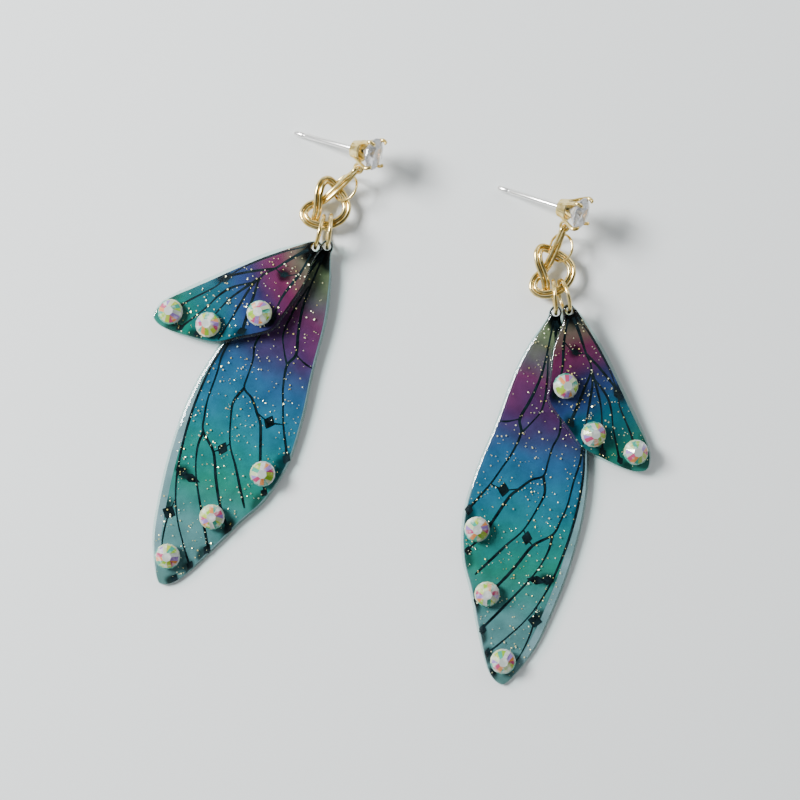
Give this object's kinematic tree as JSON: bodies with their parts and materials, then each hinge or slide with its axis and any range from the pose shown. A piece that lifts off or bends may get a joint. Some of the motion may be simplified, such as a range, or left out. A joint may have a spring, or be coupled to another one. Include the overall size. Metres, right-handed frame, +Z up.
{
  "type": "fairy wing drop earrings",
  "caption": "Pair of fairy-wing drop earrings: ear stud with a round stone, gold wire knot, and iridescent resin wings with flat-back crystals, lying flat.",
  "frame": {"origin": "centre of the pair's bounding box in plan, on the table the earrings lie on", "axes": "+Z up from the table, +Y from the wing tips towards the ear studs, +X from the left earring to the right earring"},
  "size_m": [0.0654, 0.0728, 0.0081],
  "materials": {
    "gold_plate": "polished gold plate over brass wire",
    "silver_post": "polished silver-white plate",
    "clear_stone": "faceted and polished clear stone",
    "clear_resin": "clear cast epoxy resin with a glossy dome",
    "printed_film": "printed film, plum to blue to teal with black veins and gold glitter",
    "iridescent_crystal": "faceted glass with an iridescent coating and a foiled back"
  },
  "bodies": {
    "left_knot": {"left_knot": "gold_plate"},
    "left_keeper_ring": {"left_keeper_ring": "gold_plate"},
    "left_stud": {"left_ear_post": "silver_post", "left_prong_basket": "gold_plate", "left_stud_eye": "gold_plate", "left_stone": "clear_stone"},
    "left_big_ring": {"left_big_ring": "gold_plate"},
    "left_small_ring": {"left_small_ring": "gold_plate"},
    "left_big_wing": {"left_big_wing_back": "clear_resin", "left_big_wing_print": "printed_film", "left_big_wing_dome": "clear_resin", "left_big_wing_crystal_1": "iridescent_crystal", "left_big_wing_crystal_2": "iridescent_crystal", "left_big_wing_crystal_3": "iridescent_crystal"},
    "left_small_wing": {"left_small_wing_back": "clear_resin", "left_small_wing_print": "printed_film", "left_small_wing_dome": "clear_resin", "left_small_wing_crystal_1": "iridescent_crystal", "left_small_wing_crystal_2": "iridescent_crystal", "left_small_wing_crystal_3": "iridescent_crystal"},
    "right_knot": {"right_knot": "gold_plate"},
    "right_keeper_ring": {"right_keeper_ring": "gold_plate"},
    "right_stud": {"right_ear_post": "silver_post", "right_prong_basket": "gold_plate", "right_stud_eye": "gold_plate", "right_stone": "clear_stone"},
    "right_big_ring": {"right_big_ring": "gold_plate"},
    "right_small_ring": {"right_small_ring": "gold_plate"},
    "right_big_wing": {"right_big_wing_back": "clear_resin", "right_big_wing_print": "printed_film", "right_big_wing_dome": "clear_resin", "right_big_wing_crystal_1": "iridescent_crystal", "right_big_wing_crystal_2": "iridescent_crystal", "right_big_wing_crystal_3": "iridescent_crystal"},
    "right_small_wing": {"right_small_wing_back": "clear_resin", "right_small_wing_print": "printed_film", "right_small_wing_dome": "clear_resin", "right_small_wing_crystal_1": "iridescent_crystal", "right_small_wing_crystal_2": "iridescent_crystal", "right_small_wing_crystal_3": "iridescent_crystal"}
  },
  "joints": [
    {"name": "left_wings_lift", "type": "hinge", "parent": "left_knot", "child": "left_big_ring", "pos_m": [-0.00944, 0.02301, 0.00245], "axis": [-0.9894, 0.12, 0.082], "range_deg": [0, 45]},
    {"name": "left_big_wing_fan", "type": "hinge", "parent": "left_big_ring", "child": "left_big_wing", "pos_m": [-0.00973, 0.02107, 0.00186], "axis": [-0.0103, -0.0212, 0.9997], "range_deg": [0, 12]},
    {"name": "left_small_wing_lift", "type": "hinge", "parent": "left_big_ring", "child": "left_small_ring", "pos_m": [-0.01067, 0.0229, 0.00281], "axis": [-0.9628, 0.2689, 0.026], "range_deg": [0, 45]},
    {"name": "left_small_wing_fan", "type": "hinge", "parent": "left_small_ring", "child": "left_small_wing", "pos_m": [-0.01119, 0.02087, 0.00334], "axis": [-0.1404, 0.113, 0.9836], "range_deg": [-8, 25]},
    {"name": "left_keeper_turn", "type": "hinge", "parent": "left_knot", "child": "left_keeper_ring", "pos_m": [-0.00731, 0.02874, 0.00193], "axis": [-0.5686, 0.3192, 0.7581], "range_deg": [-90, 90]},
    {"name": "left_stud_tilt", "type": "hinge", "parent": "left_knot", "child": "left_stud", "pos_m": [-0.00557, 0.03109, 0.0043], "axis": [0.4998, 0.167, -0.8499], "range_deg": [-5, 60]},
    {"name": "right_wings_lift", "type": "hinge", "parent": "right_knot", "child": "right_big_ring", "pos_m": [0.01999, 0.01443, 0.00246], "axis": [-0.9963, -0.079, -0.034], "range_deg": [0, 45]},
    {"name": "right_big_wing_fan", "type": "hinge", "parent": "right_big_ring", "child": "right_big_wing", "pos_m": [0.02018, 0.01247, 0.00186], "axis": [-0.0036, -0.0233, 0.9997], "range_deg": [-12, 0]},
    {"name": "right_small_wing_lift", "type": "hinge", "parent": "right_big_ring", "child": "right_small_ring", "pos_m": [0.0212, 0.01451, 0.00276], "axis": [-0.953, -0.246, 0.177], "range_deg": [0, 45]},
    {"name": "right_small_wing_fan", "type": "hinge", "parent": "right_small_ring", "child": "right_small_wing", "pos_m": [0.02184, 0.01258, 0.0034], "axis": [0.1801, -0.0056, 0.9836], "range_deg": [-25, 8]},
    {"name": "right_keeper_turn", "type": "hinge", "parent": "right_knot", "child": "right_keeper_ring", "pos_m": [0.02088, 0.02091, 0.00193], "axis": [-0.6502, 0.049, 0.7581], "range_deg": [-90, 90]},
    {"name": "right_stud_tilt", "type": "hinge", "parent": "right_knot", "child": "right_stud", "pos_m": [0.02118, 0.02358, 0.00403], "axis": [0.5151, 0.2737, -0.8122], "range_deg": [-5, 60]},
    {"name": "right_earring_lift", "type": "slide", "parent": "left_knot", "child": "right_knot", "axis": [0, 0, 1], "range_m": [0, 0.03]}
  ]
}
